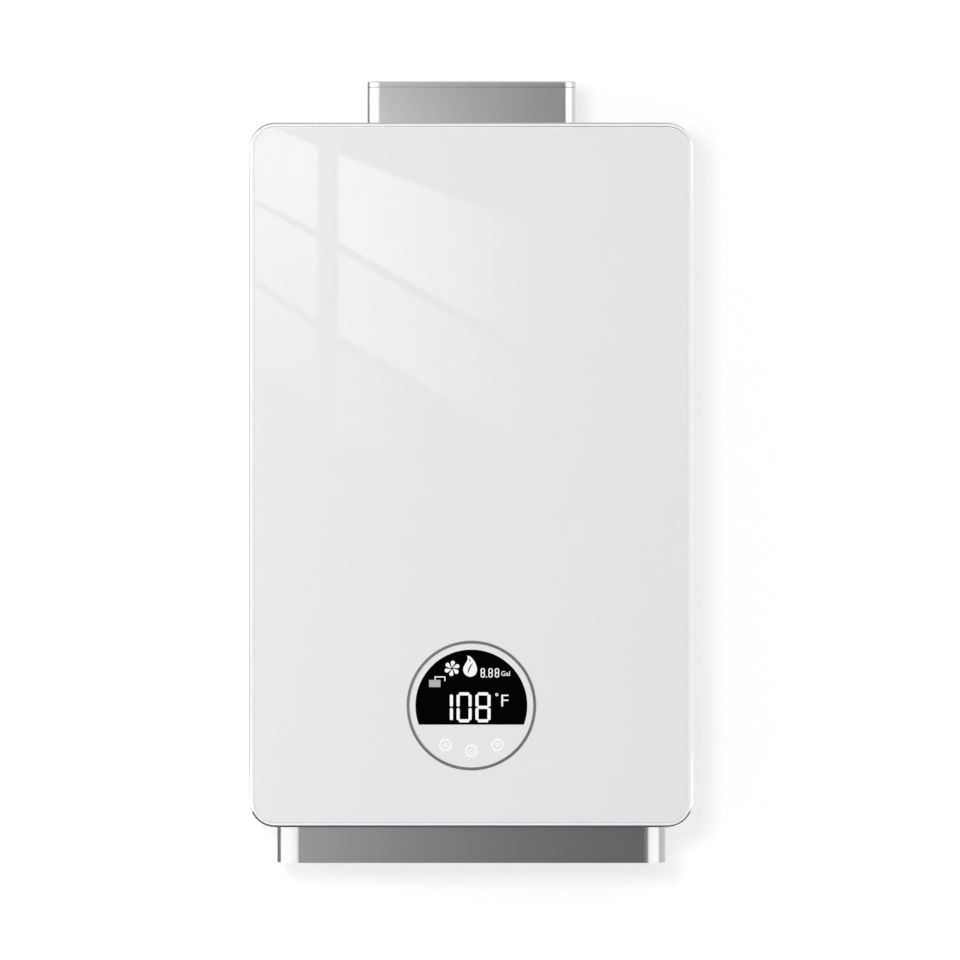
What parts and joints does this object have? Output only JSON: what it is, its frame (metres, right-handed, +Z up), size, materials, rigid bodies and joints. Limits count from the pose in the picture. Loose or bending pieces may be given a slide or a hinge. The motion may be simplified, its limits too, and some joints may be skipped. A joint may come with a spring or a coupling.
{
  "type": "tankless propane water heater",
  "caption": "Wall-hung tankless propane water heater with a white glass front panel, round touch display, silver cabinet, top flue hood and pipe fittings below.",
  "frame": {"origin": "on the wall plane, midway between the two upper hanging holes", "axes": "+Z up, +Y into the wall, +X to the right seen from the front, so the front faces -Y"},
  "size_m": [0.35, 0.145, 0.617],
  "materials": {
    "panel_rim": "polished bright edge",
    "white_glass": "back-painted tempered glass, glossy",
    "silver_sheet": "satin silver",
    "galvanised": "galvanised sheet, dull",
    "stainless": "brushed stainless sheet",
    "steel_screws": "zinc plated",
    "dark_ring": "dark grey trim ring",
    "window_black": "smoked black window",
    "key_white": "white, glossy",
    "inner_plastic": "moulded black",
    "grey_plastic": "moulded grey",
    "white_plastic": "moulded white",
    "circuit_board": "green solder mask",
    "foam_tape": "foam adhesive tape",
    "brass": "machined",
    "copper": "bright copper",
    "cast_aluminium": "die cast",
    "machined_steel": "turned",
    "spring_steel": "drawn wire",
    "black_paint": "black enamel",
    "coil_resin": "potted resin",
    "ceramic": "glazed insulator",
    "silicone": "silicone lead",
    "hose_rubber": "pressure switch and its hose",
    "gland_nylon": "moulded nylon"
  },
  "bodies": {
    "cabinet": {"back_plate": "galvanised", "blower_housing": "galvanised", "bottom_plate": "galvanised", "burner_blades": "stainless", "burner_box": "galvanised", "case_screws": "steel_screws", "chamber_shell": "copper", "cold_inlet_fitting": "brass", "cold_pipe": "copper", "control_board": "circuit_board", "controller_case": "white_plastic", "cord_gland": "gland_nylon", "damper_rod": "machined_steel", "display_board": "circuit_board", "display_cup": "inner_plastic", "display_ring": "dark_ring", "display_window": "window_black", "drain_body": "brass", "fan_motor": "black_paint", "fin_pack": "copper", "fitting_nuts": "machined_steel", "flow_sensor_body": "grey_plastic", "flow_sensor_cap": "grey_plastic", "flue_collar": "stainless", "flue_hood": "silver_sheet", "front_cover": "silver_sheet", "gas_inlet_fitting": "brass", "gas_manifold": "cast_aluminium", "gas_riser": "cast_aluminium", "gas_valve_body": "cast_aluminium", "glass_panel": "white_glass", "glass_tape": "foam_tape", "hood_lid": "silver_sheet", "hot_outlet_fitting": "brass", "hot_pipe": "copper", "ignition_lead": "silicone", "ignition_transformer": "coil_resin", "injectors": "brass", "inlet_filter": "white_plastic", "key_plate": "key_white", "modulating_spring": "spring_steel", "panel_frame": "panel_rim", "pressure_switch": "hose_rubber", "return_bends": "copper", "shutoff_spring": "spring_steel", "smoke_collector": "galvanised", "solenoid_coils": "coil_resin", "spark_electrodes": "ceramic", "stack_brackets": "galvanised", "temperature_sensors": "machined_steel", "touch_springs": "spring_steel", "water_valve_body": "brass"},
    "impeller_wheel": {"impeller": "stainless", "fan_shaft": "machined_steel"},
    "damper_front": {"damper_petal_front": "stainless"},
    "damper_rear": {"damper_petal_rear": "stainless"},
    "flow_turbine": {"flow_rotor": "white_plastic"},
    "shutoff_core": {"shutoff_plunger": "machined_steel"},
    "modulating_core": {"modulating_plunger": "machined_steel"},
    "drain_cock": {"drain_handle": "inner_plastic"}
  },
  "joints": [
    {"name": "impeller_spin", "type": "hinge", "parent": "cabinet", "child": "impeller_wheel", "pos_m": [-0.026, -0.071, -0.091], "axis": [0, 1, 0], "continuous": true},
    {"name": "damper_front_lift", "type": "hinge", "parent": "cabinet", "child": "damper_front", "pos_m": [0, -0.06775, 0.001], "axis": [-1, 0, 0], "range_deg": [0, 75]},
    {"name": "damper_rear_lift", "type": "hinge", "parent": "cabinet", "child": "damper_rear", "pos_m": [0, -0.06775, 0.001], "axis": [1, 0, 0], "range_deg": [0, 75]},
    {"name": "flow_turbine_spin", "type": "hinge", "parent": "cabinet", "child": "flow_turbine", "pos_m": [0.08, -0.06775, -0.4583], "axis": [0, 0, 1], "continuous": true},
    {"name": "shutoff_lift", "type": "slide", "parent": "cabinet", "child": "shutoff_core", "axis": [0, 0, 1], "range_m": [0, 0.003], "stiffness_N_per_m": 300, "springref_m": -0.004, "deforming": ["shutoff_spring"]},
    {"name": "modulating_lift", "type": "slide", "parent": "cabinet", "child": "modulating_core", "axis": [0, 0, 1], "range_m": [0, 0.003], "stiffness_N_per_m": 300, "springref_m": -0.004, "deforming": ["modulating_spring"]},
    {"name": "drain_turn", "type": "hinge", "parent": "cabinet", "child": "drain_cock", "pos_m": [0.122, -0.06775, -0.5315], "axis": [0, 0, 1], "range_deg": [0, 90]}
  ]
}
